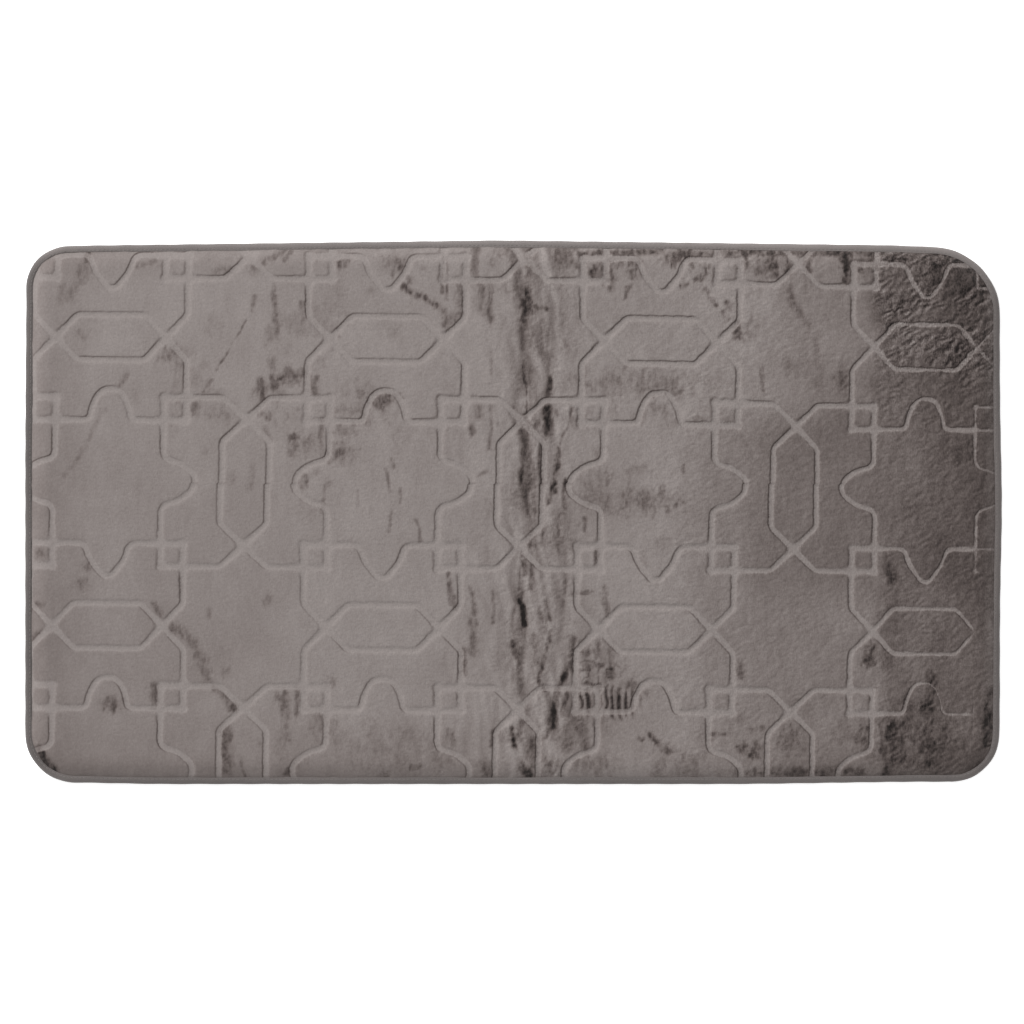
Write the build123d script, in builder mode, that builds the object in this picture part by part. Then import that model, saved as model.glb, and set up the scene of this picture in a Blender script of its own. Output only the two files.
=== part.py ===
"""Plush memory-foam bath mat, bound with tape round its edge.

Frame: +X along the mat, +Y away from the user, +Z up, millimetres.
The origin is the centre of the rectangle that the mat stands on.
"""
from build123d import *
import os

# ---------------------------------------------------------------- driving dimensions
mat_length = 914.0
mat_width = 508.0

# Corner radii of the bound edge. The corners are cut and taped by hand, so they differ.
front_left_radius = 47.0
front_right_radius = 45.0
back_right_radius = 60.0
back_left_radius = 38.0

# Thickness of each layer in the full-thickness middle.
dot_height = 1.2
film_thickness = 0.3
cloth_thickness = 0.6
foam_thickness = 9.5
pile_thickness = 4.0

# At the edge the tape squeezes the foam and the pile.
foam_at_edge = 4.0
pile_at_edge = 2.0

# From the flat ledge under the tape, the top swells to full thickness in two slopes.
ledge_inset = 8.0
shoulder_inset = 15.0
crown_inset = 28.0
shoulder_share = 0.68

# Binding tape, folded round the edge.
tape_thickness = 0.9
tape_cover = 7.5
tape_roll = 2.2

# Lockstitch that holds the tape.
seam_inset = 6.2
thread_width = 0.8
thread_height = 0.5
thread_sunk = 0.25

# Embossed lattice. Each repeat is a star with a small square outside each corner.
groove_width = 5.0
groove_depth = 1.6
groove_depth_at_edge = 0.8
repeat_x = 257.9
repeat_y = 271.1
star_x = 52.2
star_y = 57.9
square_side = 21.6
hexagon_side = 21.2
hexagon_flat_x = 32.5
hexagon_flat_y = 38.6
arch_foot = 19.0
arch_top = 15.0
arch_rise = 31.0
arch_radius = 13.0
dip_foot = 20.0
dip_shoulder = (16.0, 13.0)
dip_drop = 33.0
bulge_foot = 22.0
bulge_neck = (18.0, 17.5)
bulge_reach = 33.0
foot_radius = 6.0
shoulder_radius = 5.0
bulge_radius = 8.5
lattice_origin = (-120.5, 26.8)
lattice_turn = -0.6

# Grip dots, on every second place of a grid. The counts are half pitches each way from the middle.
dot_radius = 3.25
dot_pitch = 30.0
dot_columns = 28
dot_rows = 15

# Care label, lying under the back edge.
label_length = 60.0
label_width = 32.0
label_thickness = 0.25
label_x = 250.0
label_clearance = 4.0
label_seam_length = 52.0
label_seam_inset = 4.0

# ---------------------------------------------------------------- derived heights and places
film_bottom = dot_height
cloth_bottom = film_bottom + film_thickness
foam_bottom = cloth_bottom + cloth_thickness
foam_top = foam_bottom + foam_thickness
pile_top = foam_top + pile_thickness
foam_edge_top = foam_bottom + foam_at_edge
pile_edge_top = foam_edge_top + pile_at_edge
tape_bottom = film_bottom - tape_thickness
tape_top = pile_edge_top + tape_thickness
label_y = mat_width / 2 - tape_cover - label_width / 2


# ---------------------------------------------------------------- shared shapes
def plan(inset):
    """Add the mat's outline to a sketch, pulled in by inset all round."""
    x = mat_length / 2 - inset
    y = mat_width / 2 - inset
    corners = [(-x, -y), (x, -y), (x, y), (-x, y)]
    radii = [front_left_radius, front_right_radius, back_right_radius, back_left_radius]
    with BuildLine() as outline:
        FilletPolyline(*corners, radius=[radius - inset for radius in radii], close=True)
    make_face(outline.line)


def swell(bottom, edge_top, crown_top):
    """Add a slab that is flat under the tape and swells to crown_top inside it."""
    shoulder_top = edge_top + shoulder_share * (crown_top - edge_top)
    with BuildSketch(Plane.XY.offset(bottom)) as footprint:
        plan(tape_thickness)
    extrude(footprint.sketch, amount=edge_top - bottom)
    with BuildSketch(Plane.XY.offset(edge_top)) as ledge:
        plan(ledge_inset)
    with BuildSketch(Plane.XY.offset(shoulder_top)) as shoulder:
        plan(shoulder_inset)
    with BuildSketch(Plane.XY.offset(crown_top)) as crown:
        plan(crown_inset)
    loft([ledge.sketch, shoulder.sketch, crown.sketch], ruled=True)


def seam_line():
    """Add the line of the binding's stitches, as wide as its thread, to a sketch."""
    plan(seam_inset - thread_width / 2)
    with BuildSketch(mode=Mode.PRIVATE) as inside:
        plan(seam_inset + thread_width / 2)
    add(inside.sketch, mode=Mode.SUBTRACT)


def under_label(x, y):
    """Say whether a dot at x, y would touch the label."""
    reach_x = label_length / 2 + label_clearance
    reach_y = label_width / 2 + label_clearance
    return abs(x - label_x) < reach_x and abs(y - label_y) < reach_y


# ---------------------------------------------------------------- embossed lattice
square_x = star_x + square_side
square_y = star_y + square_side
half_x = repeat_x / 2
half_y = repeat_y / 2

with BuildSketch() as repeat:
    with BuildLine() as straps:
        # Top of the star, with its round arch.
        FilletPolyline(
            (-square_x, star_y),
            (-arch_foot, star_y),
            (-arch_top, star_y + arch_rise),
            (arch_top, star_y + arch_rise),
            (arch_foot, star_y),
            (square_x, star_y),
            radius=[foot_radius, arch_radius, arch_radius, foot_radius],
        )
        # Foot of the star, with its pointed dip.
        FilletPolyline(
            (-square_x, -star_y),
            (-dip_foot, -star_y),
            (-dip_shoulder[0], -star_y - dip_shoulder[1]),
            (0, -star_y - dip_drop),
            (dip_shoulder[0], -star_y - dip_shoulder[1]),
            (dip_foot, -star_y),
            (square_x, -star_y),
            radius=[foot_radius, *[shoulder_radius] * 3, foot_radius],
        )
    trace(straps.line, groove_width)
    for side in (-1, 1):
        with BuildLine() as flank:
            # Side of the star, with its blunt bulge.
            FilletPolyline(
                (side * star_x, -square_y),
                (side * star_x, -bulge_foot),
                (side * (star_x + bulge_neck[0]), -bulge_neck[1]),
                (side * (star_x + bulge_reach), 0),
                (side * (star_x + bulge_neck[0]), bulge_neck[1]),
                (side * star_x, bulge_foot),
                (side * star_x, square_y),
                radius=[foot_radius, *[bulge_radius] * 3, foot_radius],
            )
        trace(flank.line, groove_width)
        for end in (-1, 1):
            with BuildLine() as links:
                # Outer strap that crosses into the hexagon above or below.
                Polyline(
                    (side * square_x, end * star_y),
                    (side * square_x, end * (half_y - hexagon_side)),
                    (side * hexagon_flat_x, end * (half_y + hexagon_side)),
                    (0, end * (half_y + hexagon_side)),
                )
                # Outer strap that crosses into the hexagon beside the star.
                Polyline(
                    (side * star_x, end * square_y),
                    (side * (half_x - hexagon_side), end * square_y),
                    (side * (half_x + hexagon_side), end * hexagon_flat_y),
                    (side * (half_x + hexagon_side), 0),
                )
            trace(links.line, groove_width)

repeat_places = [
    (column * repeat_x, row * repeat_y) for column in range(-2, 4) for row in range(-1, 2)
]
lattice_plane = Plane(origin=(*lattice_origin, foam_bottom)).rotated((0, 0, lattice_turn))

# ---------------------------------------------------------------- foam core
with BuildPart() as foam_core:
    swell(foam_bottom, foam_edge_top, foam_top)
foam_core.part.label = "foam_core"

# ---------------------------------------------------------------- pile cover
# The pressed grooves reach down to a ground that swells with the mat.
with BuildPart() as pressed_ground:
    swell(foam_bottom, pile_edge_top - groove_depth_at_edge, pile_top - groove_depth)

with BuildPart() as pile_cover:
    swell(foam_bottom, pile_edge_top, pile_top)
    with BuildSketch(lattice_plane):
        with Locations(*repeat_places):
            add(repeat.sketch)
    extrude(amount=pile_top, mode=Mode.SUBTRACT)
    add(pressed_ground.part)
    add(foam_core.part, mode=Mode.SUBTRACT)
pile_cover.part.label = "pile_cover"

# ---------------------------------------------------------------- backing cloth
with BuildPart() as backing_cloth:
    with BuildSketch(Plane.XY.offset(cloth_bottom)):
        plan(tape_thickness)
    extrude(amount=cloth_thickness)
backing_cloth.part.label = "backing_cloth"

# ---------------------------------------------------------------- grip coating
# A film with moulded dots. The rows of dots stop short of the label.
half_pitch = dot_pitch / 2
dot_places = [
    (column * half_pitch, row * half_pitch)
    for column in range(-dot_columns, dot_columns + 1)
    for row in range(-dot_rows, dot_rows + 1)
    if (column + row) % 2 == 0 and not under_label(column * half_pitch, row * half_pitch)
]
with BuildPart() as grip_coating:
    with BuildSketch(Plane.XY.offset(film_bottom)):
        plan(tape_thickness)
    extrude(amount=film_thickness)
    with BuildSketch():
        with Locations(*dot_places):
            Circle(dot_radius)
    extrude(amount=dot_height)
grip_coating.part.label = "grip_coating"

# ---------------------------------------------------------------- stitching of the binding
with BuildPart() as needle_thread:
    with BuildSketch(Plane.XY.offset(tape_top - thread_sunk)):
        seam_line()
    extrude(amount=thread_height)
needle_thread.part.label = "needle_thread"

with BuildPart() as bobbin_thread:
    with BuildSketch(Plane.XY.offset(tape_bottom + thread_sunk)):
        seam_line()
    extrude(amount=-thread_height)
bobbin_thread.part.label = "bobbin_thread"

# ---------------------------------------------------------------- edge binding
with BuildPart() as edge_binding:
    with BuildSketch(Plane.XY.offset(tape_bottom)):
        plan(0)
    extrude(amount=tape_top - tape_bottom)
    rims = edge_binding.edges().group_by(Axis.Z)
    fillet(rims[0] + rims[-1], tape_roll)
    with BuildSketch(Plane.XY.offset(film_bottom)):
        plan(tape_thickness)
    extrude(amount=pile_edge_top - film_bottom, mode=Mode.SUBTRACT)
    with BuildSketch(Plane.XY.offset(tape_bottom)):
        plan(tape_cover)
    extrude(amount=tape_top - tape_bottom, mode=Mode.SUBTRACT)
    add([needle_thread.part, bobbin_thread.part], mode=Mode.SUBTRACT)
edge_binding.part.label = "edge_binding"

# ---------------------------------------------------------------- care label and its two seams
with BuildPart() as label_stitching:
    with BuildSketch(Plane.XY.offset(film_bottom)):
        with Locations((label_x, label_y)):
            with GridLocations(0, label_width - 2 * label_seam_inset, 1, 2):
                Rectangle(label_seam_length, thread_width)
    extrude(amount=-thread_height)
label_stitching.part.label = "label_stitching"

with BuildPart() as care_label:
    with BuildSketch(Plane.XY.offset(film_bottom)):
        with Locations((label_x, label_y)):
            Rectangle(label_length, label_width)
    extrude(amount=-label_thickness)
    add(label_stitching.part, mode=Mode.SUBTRACT)
care_label.part.label = "care_label"

# ---------------------------------------------------------------- one file for each piece
pieces = [
    pile_cover,
    foam_core,
    backing_cloth,
    grip_coating,
    edge_binding,
    needle_thread,
    bobbin_thread,
    care_label,
    label_stitching,
]
os.makedirs("parts", exist_ok=True)
for piece in pieces:
    export_step(piece.part, f"parts/{piece.part.label}.step")
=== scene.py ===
"""Looks for the embossed bath mat: plush cover, taped edge, seam, foam and grip underside.

Plan sizes and places are in millimetres in the mat's own frame, +X along it and +Y towards its back edge,
and become metres when a mesh is made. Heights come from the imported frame.
"""
import itertools
import math

import bpy
import numpy as np
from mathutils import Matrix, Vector


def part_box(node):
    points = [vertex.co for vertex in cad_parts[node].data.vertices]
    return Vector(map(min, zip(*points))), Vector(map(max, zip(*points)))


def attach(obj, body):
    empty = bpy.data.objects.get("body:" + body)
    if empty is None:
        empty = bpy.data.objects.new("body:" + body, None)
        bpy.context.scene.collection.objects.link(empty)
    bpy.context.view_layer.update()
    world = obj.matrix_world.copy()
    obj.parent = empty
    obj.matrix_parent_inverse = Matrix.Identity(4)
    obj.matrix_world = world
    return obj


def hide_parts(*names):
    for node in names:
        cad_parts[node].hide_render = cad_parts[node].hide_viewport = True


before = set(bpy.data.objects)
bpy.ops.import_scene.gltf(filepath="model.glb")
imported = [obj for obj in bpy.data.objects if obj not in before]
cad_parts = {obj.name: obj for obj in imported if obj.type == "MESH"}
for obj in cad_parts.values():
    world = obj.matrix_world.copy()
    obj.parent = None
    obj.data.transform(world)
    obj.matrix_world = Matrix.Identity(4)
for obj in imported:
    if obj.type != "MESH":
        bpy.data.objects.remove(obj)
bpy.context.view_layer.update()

MM = 0.001


def height_span(node):
    """Lowest and highest point of a CAD node, in millimetres."""
    low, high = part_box(node)
    return low.z / MM, high.z / MM


# ---- sizes, from the frame and the design
half_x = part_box("edge_binding")[1].x / MM
half_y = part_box("edge_binding")[1].y / MM
tape_bottom, tape_top = height_span("edge_binding")
pile_top = height_span("pile_cover")[1]
foam_bottom, foam_top = height_span("foam_core")
cloth_bottom, cloth_top = height_span("backing_cloth")
dot_bottom, film_top = height_span("grip_coating")
label_low, label_high = [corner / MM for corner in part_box("care_label")]

# An inset is a distance in from the outline. The ledge is the cover's height where it runs in under the tape.
corner_radius = {(-1, -1): 47.0, (1, -1): 45.0, (1, 1): 60.0, (-1, 1): 38.0}
tape_thickness = 0.85
tape_cover = 6.0
ledge_height = tape_top - tape_thickness - 0.1
crown_inset = 25.0
seam_inset = 4.8
stitch_pitch = 4.0
stitch_radius = 0.27
under_seam_lift = 0.15
label_thickness = 0.2

# The layers, with small gaps between them. Each grid is its number of steps along and across the mat.
layer_inset = 3.2
layer_gap = 0.02
foam_gap = 0.05
foam_tuck = 0.3
foam_drop = 1.4
cover_gap = 0.15
cover_grid = (700, 388)
plain_grid = (228, 128)

# The grip film and its dots, which lie on every second place of a grid counted from the middle.
film_bottom = film_top - 0.3
dot_radius = 3.25
half_pitch = 15.0
dot_columns = 28
dot_rows = 15

# Embossed lattice: a star in each repeat, with a small square outside each corner.
repeat_x = 257.9
repeat_y = 271.1
star_x = 52.2
star_y = 57.9
square_side = 21.6
hexagon_side = 21.2
hexagon_flat_x = 32.5
hexagon_flat_y = 38.6
lattice_x = -120.5
lattice_y = 26.8
groove_depth = 1.25
groove_reach = 14.0
groove_blend = 1.5


# ---- small mathematics
def ease(value, start, end):
    """0 before start and 1 after end, with a smooth rise between."""
    t = np.clip((value - start) / (end - start), 0, 1)
    return t * t * (3 - 2 * t)


def bell(value, centre, width):
    """1 at centre, falling smoothly to nothing about two widths away."""
    return np.exp(-(((value - centre) / width) ** 2))


def climb(value, *steps):
    """A sum of smooth rises, each (amount, start, end)."""
    return sum(amount * ease(value, start, end) for amount, start, end in steps)


def blots(x, y, *areas):
    """A sum of soft areas, each (amount, x, width, y, width)."""
    total = 0
    for amount, centre_x, width_x, centre_y, width_y in areas:
        total = total + amount * bell(x, centre_x, width_x) * bell(y, centre_y, width_y)
    return total


def noise(x, y, cell_x, cell_y, seed):
    """Smooth noise from -1 to 1 with lumps about cell_x by cell_y across."""
    table = np.random.default_rng(seed).uniform(-1, 1, (256, 256))
    u = x / cell_x
    v = y / cell_y
    i = np.floor(u).astype(int)
    j = np.floor(v).astype(int)
    s = u - i
    t = v - j
    s = s * s * (3 - 2 * s)
    t = t * t * (3 - 2 * t)
    near = table[i % 256, j % 256] * (1 - s) + table[(i + 1) % 256, j % 256] * s
    far = table[i % 256, (j + 1) % 256] * (1 - s) + table[(i + 1) % 256, (j + 1) % 256] * s
    return near * (1 - t) + far * t


def rough(x, y, cell_x, cell_y, seed):
    """Two sizes of noise added, the second half as large."""
    return (noise(x, y, cell_x, cell_y, seed) + 0.5 * noise(x, y, cell_x / 2, cell_y / 2, seed + 1)) / 1.2


# ---- outline, and how the mat lies
def radius_at(x, y):
    """Radius of the nearest corner of the outline."""
    back = np.where(x < 0, corner_radius[-1, 1], corner_radius[1, 1])
    front = np.where(x < 0, corner_radius[-1, -1], corner_radius[1, -1])
    return np.where(y < 0, front, back)


def inset_of(x, y):
    """Distance inside the outline, before the mat is laid down."""
    radius = radius_at(x, y)
    over_x = np.abs(x) - (half_x - radius)
    over_y = np.abs(y) - (half_y - radius)
    outside = np.hypot(np.maximum(over_x, 0), np.maximum(over_y, 0))
    return radius - outside - np.minimum(np.maximum(over_x, over_y), 0)


def laid(x, y):
    """Where a point of the true oblong lies. The edges bow, and the back edge peaks at the centre fold."""
    back_bow = 1.9 - 0.0125 * np.abs(x + 11) - 2.0 * ease(x, 340, 440) - 1.0 * ease(-x, 400, 440)
    front_bow = -2.3 + 1.4 * ease(-x, 320, 420) + 2.2 * ease(x, 190, 400)
    left_bow = -2.0 + 1.0 * ease(y, 40, 220)
    right_bow = 2.0 + 1.9 * bell(y, 10, 70) - 1.2 * ease(y, 190, 240) - 0.6 * ease(-y, 170, 230)
    across = (y / half_y + 1) / 2
    along = (x / half_x + 1) / 2
    return x + left_bow * (1 - along) + right_bow * along, y + front_bow * (1 - across) + back_bow * across


def corner_arc(side_x, side_y, first_angle, step):
    """Points round one corner of the outline, and their outward normals."""
    radius = corner_radius[side_x, side_y]
    centre = np.array([side_x * (half_x - radius), side_y * (half_y - radius)])
    turns = round(radius * math.pi / 2 / step)
    angles = np.radians(first_angle + 90 * np.arange(turns + 1) / turns)
    normals = np.stack([np.cos(angles), np.sin(angles)], 1)
    return centre + radius * normals, normals


def edge_path(step):
    """Points round the outline about step apart, and their outward normals.

    The distance to each point along the outline and the whole way round come with them.
    """
    arcs = [corner_arc(1, -1, -90, step), corner_arc(1, 1, 0, step)]
    arcs += [corner_arc(-1, 1, 90, step), corner_arc(-1, -1, 180, step)]
    points = []
    normals = []
    for (arc, arc_normals), (next_arc, _) in zip(arcs, arcs[1:] + arcs[:1]):
        run = np.linalg.norm(next_arc[0] - arc[-1])
        count = round(run / step)
        share = (np.arange(1, count) / count)[:, None]
        points += [arc, arc[-1] * (1 - share) + next_arc[0] * share]
        normals += [arc_normals, np.repeat(arc_normals[-1:], count - 1, axis=0)]
    points = np.concatenate(points)
    steps = np.linalg.norm(np.roll(points, -1, axis=0) - points, axis=1)
    along = np.concatenate([[0], np.cumsum(steps)[:-1]])
    return points, np.concatenate(normals), along, steps.sum()


# ---- the embossed lattice
def rounded(route, radius):
    """The straight runs through the given points, with each inner corner rounded off."""
    route = np.array(route, float)
    line = [route[0]]
    for before, corner, after in zip(route, route[1:], route[2:]):
        far_before = np.linalg.norm(before - corner)
        far_after = np.linalg.norm(after - corner)
        cut = min(radius, 0.45 * far_before, 0.45 * far_after)
        for share in np.linspace(0, 1, 6):
            first = corner + (before - corner) / far_before * cut * (1 - share)
            second = corner + (after - corner) / far_after * cut * share
            line.append(first * (1 - share) + second * share)
    return np.array(line + [route[-1]])


def mirrored(half, sign_x, sign_y):
    """Half of a line joined to its mirror image."""
    return np.array(half + [(sign_x * x, sign_y * y) for x, y in half[::-1]])


def repeat_straps():
    """Middle lines of the grooves in one repeat, with the star's centre at the origin."""
    square_x = star_x + square_side
    square_y = star_y + square_side
    middle_x = repeat_x / 2
    middle_y = repeat_y / 2
    arch = [(-square_x, star_y), (-20, star_y), (-17.5, star_y + 14), (-9, star_y + 29)]
    dip = [(-square_x, -star_y), (-22, -star_y), (-17, -star_y - 15), (-4, -star_y - 31)]
    flank = [(star_x, -square_y), (star_x, -22), (star_x + 18, -17.5), (star_x + 31, -6.5)]
    upright = [(square_x, star_y), (square_x, middle_y - hexagon_side)]
    upright += [(hexagon_flat_x, middle_y + hexagon_side)]
    level = [(star_x, square_y), (middle_x - hexagon_side, square_y)]
    level += [(middle_x + hexagon_side, hexagon_flat_y)]
    straps = [rounded(mirrored(arch, -1, 1), 9), rounded(mirrored(dip, -1, 1), 7)]
    for side in (-1, 1):
        straps.append(rounded(mirrored(flank, 1, -1) * (side, 1), 8))
        straps.append(rounded(mirrored(upright, -1, 1) * (1, side), 4))
        straps.append(rounded(mirrored(level, 1, -1) * (side, 1), 4))
    return straps


def to_lattice(x, y):
    """Where a laid point falls in the lattice's own square axes.

    The cloth ran through the roller a little askew, slipped at the roller's seam, and was pulled near the
    right end, so the lattice leans and shifts.
    """
    slip = np.where(y < lattice_y, 1.4, 0.0)
    pulled_x = -11.0 * ease(x, 325, 470) - 3.6 * ease(x, 250, 330) * ease(y, 0, 60)
    pulled_x = pulled_x - 3.3 * bell(x, -303, 60) + 2.6 * ease(-x, -40, 40) * ease(-y, 0, 170)
    pulled_y = -3.8 * ease(x, 120, 330) * ease(y, 0, 60)
    u = x - pulled_x - lattice_x - 0.0155 * (y - lattice_y) + slip
    v = y - pulled_y - lattice_y + 0.0073 * (x - lattice_x)
    return u, v


def distance_to(x, y, line, limit):
    """Distance from each point to a line of straight runs, up to a limit."""
    best = np.full(x.shape, limit)
    for (start_x, start_y), (end_x, end_y) in zip(line, line[1:]):
        run_x = end_x - start_x
        run_y = end_y - start_y
        rel_x = x - start_x
        rel_y = y - start_y
        share = np.clip((rel_x * run_x + rel_y * run_y) / (run_x**2 + run_y**2), 0, 1)
        best = np.minimum(best, np.hypot(rel_x - share * run_x, rel_y - share * run_y))
    return best


def groove_distance(x, y):
    """Distance from each point to the middle of the nearest groove.

    Where grooves meet, their distances blend, which rounds the corners of the pads between them.
    """
    u, v = to_lattice(x, y)
    u = (u + repeat_x / 2) % repeat_x - repeat_x / 2
    v = (v + repeat_y / 2) % repeat_y - repeat_y / 2
    closeness = np.full(u.shape, groove_reach**-groove_blend)
    for strap, column, row in itertools.product(repeat_straps(), (-1, 0, 1), (-1, 0, 1)):
        line = strap + (column * repeat_x, row * repeat_y)
        low = line.min(0) - groove_reach
        high = line.max(0) + groove_reach
        near = np.flatnonzero((u > low[0]) & (u < high[0]) & (v > low[1]) & (v < high[1]))
        away = distance_to(u[near], v[near], line, groove_reach)
        closeness[near] += np.where(away < groove_reach, np.maximum(away, 0.05) ** -groove_blend, 0)
    return closeness ** (-1 / groove_blend)


# ---- how the pile leans, and painted shade on its ridges, rumples and edges
# Pile that leans away from the light looks darker. Each streak is placed as (x, y, x, y, width,
# darkness) in millimetres. The first set lies along the fold across the middle, and the second elsewhere.
FOLD_STREAKS = [
    (14, 208, 12, 182, 9, 0.9), (20, 193, 32, 191, 5, 0.8), (11, 180, 13, 150, 8, 0.4),
    (30, 175, 33, 150, 14, 0.3), (12, 142, 13, 92, 2.6, 0.9), (13, 200, 16, 60, 14, 0.22),
    (12, 90, 16, 74, 6, 0.9), (14, 82, 12, 5, 10, 0.55), (7, 40, 6, 26, 5, 0.8), (20, 75, 18, -30, 7, 0.35),
    (26, 70, 27, 0, 3, 0.6), (36, 126, 34, 108, 3, 0.8), (34, 96, 32, 76, 7, 0.8), (41, 94, 36, 80, 7, 0.35),
    (24, 84, 18, 80, 6, 0.6), (57, 98, 43, 60, 2.5, 0.6), (42, 60, 40, 20, 5, 0.95), (38, 28, 34, 8, 4, 0.8),
    (50, 30, 48, 4, 3.5, 0.8), (46, -2, 40, -30, 5, 0.5), (33, -12, 28, -30, 6, 0.4),
    (68, -6, 68, -18, 4, 0.7), (9, -38, 12, -58, 6, 0.9), (9, -55, 9, -78, 5, 0.8),
    (19, -50, 18, -72, 4, 0.5), (8, -82, 10, -92, 4.5, 1.25), (10, -90, 12, -107, 4.5, 1.35),
    (1, -92, 1, -108, 4, 0.4), (7, -108, 5, -134, 10, 0.75), (5, -132, 6, -168, 9, 0.35),
    (31, -84, 35, -102, 3, 0.6), (27, -92, 28, -110, 8, 0.35), (20, -118, 20, -142, 6, 0.45),
    (36, -112, 25, -156, 3.5, 0.8), (25, -158, 30, -167, 4, 0.9), (57, -118, 56, -150, 6, 0.95),
    (56, -142, 42, -167, 6, 1.0), (41, -170, 38, -200, 7, 0.95), (37, -200, 31, -212, 4, 0.6),
    (52, -172, 47, -190, 5, 0.7), (0, -204, 2, -221, 5, 1.4), (9, -196, 6, -214, 6, 0.6),
    (-20, -206, -20, -219, 4, 0.9), (20, -215, 16, -240, 9, 0.5), (10, -238, 15, -248, 8, 1.0),
    (-20, -236, -19, -250, 5, 0.5), (-40, -72, -34, -96, 5, 0.5), (-36, -104, -37, -132, 8, 0.5),
    (-47, -130, -45, -152, 6, 0.5), (-46, -142, -46, -150, 6, 0.7), (-20, -74, -18, -104, 3, 0.4),
    (-60, -58, -57, -86, 4, 0.65), (-55, -80, -53, -92, 4, 0.6), (-60, -205, -56, -218, 6, 0.4),
    (-91, -8, -86, -28, 3, 0.5), (-119, 40, -116, 20, 3, 0.5), (-112, 50, -111, 42, 3, 0.45),
    (-106, 22, -105, 8, 2.5, 0.35), (-146, 20, -145, 6, 2.5, 0.3), (-113, 0, -117, -18, 3, 0.3),
    (-20, 100, -22, 60, 3, 0.45), (-32, 98, -33, 90, 7, 0.4), (-39, 80, -37, 74, 6, 0.6),
    (-24, 38, -31, 34, 4, 0.4), (-22, 218, -20, 180, 5, 0.6), (-31, 212, -27, 188, 8, 0.5),
    (-34, 246, -36, 218, 8, 0.45), (-66, 242, -66, 206, 2.5, 0.7), (-63, 240, -62, 200, 2.5, 0.7),
    (-50, 214, -48, 192, 6, 0.45), (-20, 150, -21, 130, 2.5, 0.35), (14, 240, 16, 215, 10, 0.35),
]
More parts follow.
